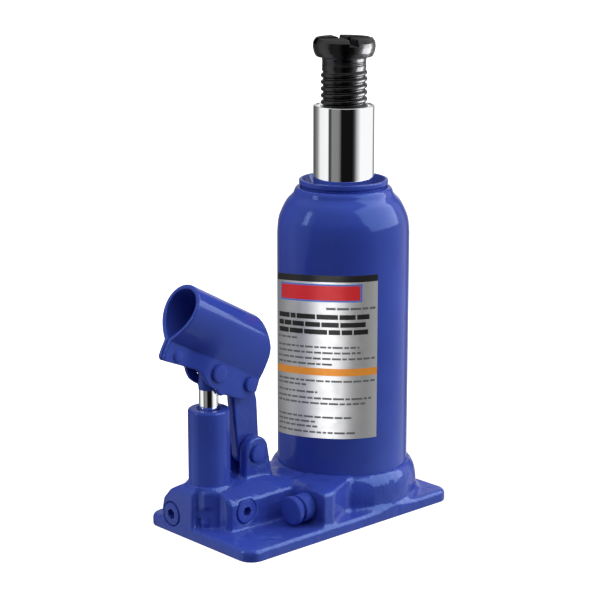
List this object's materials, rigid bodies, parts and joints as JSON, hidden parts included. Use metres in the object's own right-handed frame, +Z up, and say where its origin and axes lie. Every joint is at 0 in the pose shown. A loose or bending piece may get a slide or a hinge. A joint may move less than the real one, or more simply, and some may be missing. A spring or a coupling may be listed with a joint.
{
  "type": "hydraulic bottle jack",
  "caption": "Hydraulic bottle jack: flat cast base with a side pump and tubular handle socket, an upright oil bottle, a chrome ram and a threaded saddle screw.",
  "frame": {"origin": "on the ground under the ram's axis, in the plane of the base's underside", "axes": "+Z up along the ram, -X from the bottle towards the pump and the handle socket's mouth, +Y to the side away from the release valve"},
  "size_m": [0.137, 0.0708, 0.2149],
  "materials": {
    "enamel": "glossy royal blue enamel over cast iron and steel",
    "chrome": "ground and hard chromed, mirror bright",
    "black_oxide": "oiled black oxide, semi-gloss",
    "steel": "plain machined steel, lightly oiled",
    "brass": "turned, bright",
    "copper": "soft annealed copper sealing rings",
    "rubber": "black oil-resistant rubber, matte",
    "label_film": "satin printed film in silver, white, black and orange, no lettering"
  },
  "bodies": {
    "base": {"base_casting": "enamel", "reservoir_tube": "enamel", "reservoir_bottom_gasket": "copper", "reservoir_top_gasket": "rubber", "top_nut": "enamel", "ram_wiper": "rubber", "pressure_cylinder": "steel", "cylinder_gasket": "copper", "filler_plug": "rubber", "label": "label_film", "pump_cylinder": "enamel", "pump_cup_seal": "rubber", "pump_washer": "copper", "link_lower_pin": "enamel", "link_lower_pin_clip": "steel", "suction_plug": "enamel", "suction_spring": "steel", "suction_ball": "steel", "delivery_plug": "enamel", "delivery_spring": "steel", "delivery_ball": "steel", "safety_screw": "steel", "safety_spring": "steel", "safety_ball": "steel", "suction_screen": "brass"},
    "ram_body": {"ram": "chrome", "piston_head": "brass", "piston_seal": "rubber", "piston_retaining_ring": "steel"},
    "screw_carrier": {"screw_stop_ring": "steel"},
    "screw_body": {"extension_screw": "black_oxide"},
    "plunger_body": {"pump_plunger": "chrome", "plunger_seal": "rubber"},
    "socket_body": {"handle_socket": "enamel", "socket_rivet": "enamel", "plunger_pin": "enamel", "plunger_pin_clip": "steel", "link_upper_pin": "enamel", "link_upper_pin_clip": "steel"},
    "link_body": {"link_arm": "enamel"},
    "valve_carrier": {"release_ball": "steel"},
    "valve_body": {"release_valve": "enamel", "release_valve_oring": "rubber"}
  },
  "joints": [
    {"name": "ram_lift", "type": "slide", "parent": "base", "child": "ram_body", "axis": [0, 0, 1], "range_m": [-0.0335, 0.0565]},
    {"name": "screw_rise", "type": "slide", "parent": "ram_body", "child": "screw_carrier", "axis": [0, 0, 1], "range_m": [-0.0208, 0.0291]},
    {"name": "screw_turn", "type": "hinge", "parent": "screw_carrier", "child": "screw_body", "pos_m": [0, 0, 0.2], "axis": [0, 0, 1], "range_deg": [-2480, 3480]},
    {"name": "pump_stroke", "type": "slide", "parent": "base", "child": "plunger_body", "axis": [0, 0, 1], "range_m": [-0.007, 0.0045]},
    {"name": "socket_swing", "type": "hinge", "parent": "plunger_body", "child": "socket_body", "pos_m": [-0.0747, 0.0065, 0.0751], "axis": [0, -1, 0], "range_deg": [-14.6, 22.6]},
    {"name": "link_swing", "type": "hinge", "parent": "base", "child": "link_body", "pos_m": [-0.0538, 0.0065, 0.0341], "axis": [0, -1, 0], "range_deg": [-5.1, 3.3]},
    {"name": "valve_travel", "type": "slide", "parent": "base", "child": "valve_carrier", "axis": [-1, 0, 0], "range_m": [0, 0.0016]},
    {"name": "valve_turn", "type": "hinge", "parent": "valve_carrier", "child": "valve_body", "pos_m": [-0.043, -0.023, 0.0128], "axis": [-1, 0, 0], "range_deg": [0, 540]}
  ],
  "couplings": [
    {"joint": "screw_rise", "follows": "screw_turn", "m_per_rad": 0.00047746},
    {"joint": "socket_swing", "follows": "pump_stroke", "rad_per_m": -55.97},
    {"joint": "link_swing", "follows": "pump_stroke", "rad_per_m": 12.33},
    {"joint": "valve_travel", "follows": "valve_turn", "m_per_rad": 0.00015915}
  ]
}
